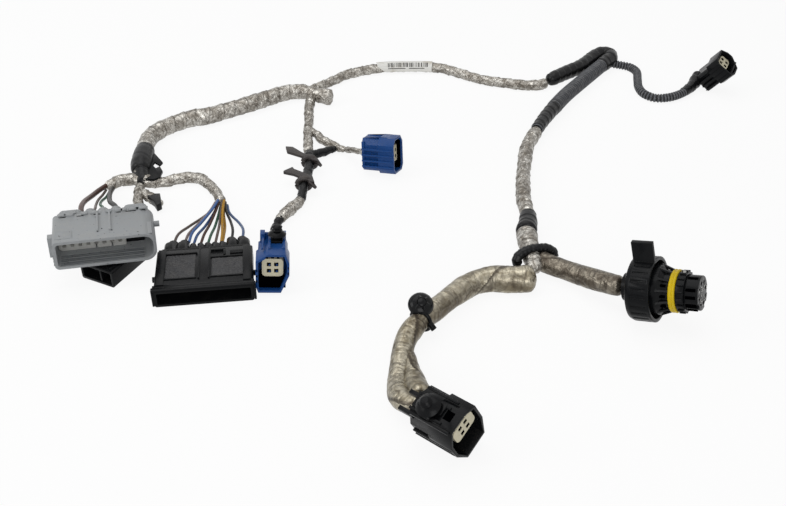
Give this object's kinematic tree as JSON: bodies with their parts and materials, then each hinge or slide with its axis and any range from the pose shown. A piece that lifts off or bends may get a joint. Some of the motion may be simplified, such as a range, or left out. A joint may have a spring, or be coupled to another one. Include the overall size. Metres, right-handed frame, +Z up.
{
  "type": "wiring harness",
  "caption": "Engine-bay wiring harness: foil-wrapped and conduit-covered branches laid out flat, with grey, black, blue and round plugs, clips and a paper label.",
  "frame": {"origin": "under the middle of the plugs and clips, at table height", "axes": "+X to the viewer's right along the longest extent, +Y away from the viewer, +Z up from the table"},
  "size_m": [0.5332, 0.5154, 0.0569],
  "materials": {
    "grey_plastic": "satin moulded plastic with a film of dust",
    "black_plastic": "satin moulded plastic, dusty",
    "blue_plastic": "satin moulded plastic",
    "cream_plastic": "unpigmented moulded plastic",
    "clip_plastic": "worn black-brown moulded plastic",
    "yellow_rubber": "moulded silicone seal",
    "foil_tape": "crumpled aluminium foil tape",
    "cloth_tape": "wound cloth tape",
    "conduit_plastic": "corrugated tubing, satin",
    "label_paper": "matt coated paper with printed bars",
    "brown_wire": "wire insulation",
    "green_wire": "wire insulation",
    "black_wire": "wire insulation",
    "blue_wire": "wire insulation",
    "pink_wire": "wire insulation",
    "yellow_wire": "wire insulation",
    "tan_wire": "wire insulation",
    "slate_wire": "wire insulation"
  },
  "bodies": {
    "harness": {"small_plug_housing": "black_plastic", "small_plug_terminal_block": "black_plastic", "grey_plug_housing": "grey_plastic", "grey_plug_power_block": "cream_plastic", "grey_plug_signal_block": "black_plastic", "grey_plug_rear_cover": "grey_plastic", "black_plug_housing": "black_plastic", "black_plug_terminal_block": "black_plastic", "black_plug_wire_boots": "black_plastic", "blue_left_plug_housing": "blue_plastic", "blue_left_plug_terminal_block": "cream_plastic", "blue_left_plug_push_clip": "black_plastic", "blue_right_plug_housing": "blue_plastic", "blue_right_plug_terminal_block": "cream_plastic", "lower_plug_housing": "black_plastic", "lower_plug_terminal_block": "cream_plastic", "lower_plug_push_clip": "black_plastic", "upper_plug_housing": "black_plastic", "upper_plug_terminal_block": "cream_plastic", "round_plug_body": "black_plastic", "round_plug_seal": "yellow_rubber", "round_plug_pin_insert": "black_plastic", "trunk_hook_clip": "black_plastic", "edge_clip_a": "clip_plastic", "edge_clip_b": "clip_plastic", "junction_strap": "cloth_tape", "sleeve_push_clip": "black_plastic", "run_label": "label_paper", "trunk_foil_bundle": "foil_tape", "upper_foil_run": "foil_tape", "taped_conduit": "cloth_tape", "ribbed_conduit": "conduit_plastic", "thin_conduit": "conduit_plastic", "drop_foil_run": "foil_tape", "left_foil_sleeve": "foil_tape", "right_foil_sleeve": "foil_tape", "branch_foil_run": "foil_tape", "branch_taped_tail": "cloth_tape", "blue_left_lead": "cloth_tape", "side_foil_branch": "foil_tape", "blue_right_lead": "cloth_tape", "tape_link": "cloth_tape", "left_foil_arm": "foil_tape", "right_foil_arm": "foil_tape", "small_plug_branch": "foil_tape", "splice_stub": "foil_tape", "grey_plug_wire_1": "brown_wire", "grey_plug_wire_2": "tan_wire", "grey_plug_wire_3": "green_wire", "grey_plug_wire_4": "black_wire", "black_plug_wire_1": "tan_wire", "black_plug_wire_2": "pink_wire", "black_plug_wire_3": "blue_wire", "black_plug_wire_4": "brown_wire", "black_plug_wire_5": "green_wire", "black_plug_wire_6": "tan_wire", "black_plug_wire_7": "yellow_wire", "black_plug_wire_8": "black_wire", "black_plug_wire_9": "slate_wire"},
    "lock_collar": {"round_plug_lock_collar": "black_plastic"}
  },
  "joints": [
    {"name": "lock_collar_turn", "type": "hinge", "parent": "harness", "child": "lock_collar", "pos_m": [0.1162, -0.1056, 0.01925], "axis": [0.8448, -0.4683, 0.2588], "range_deg": [0, 60]}
  ]
}
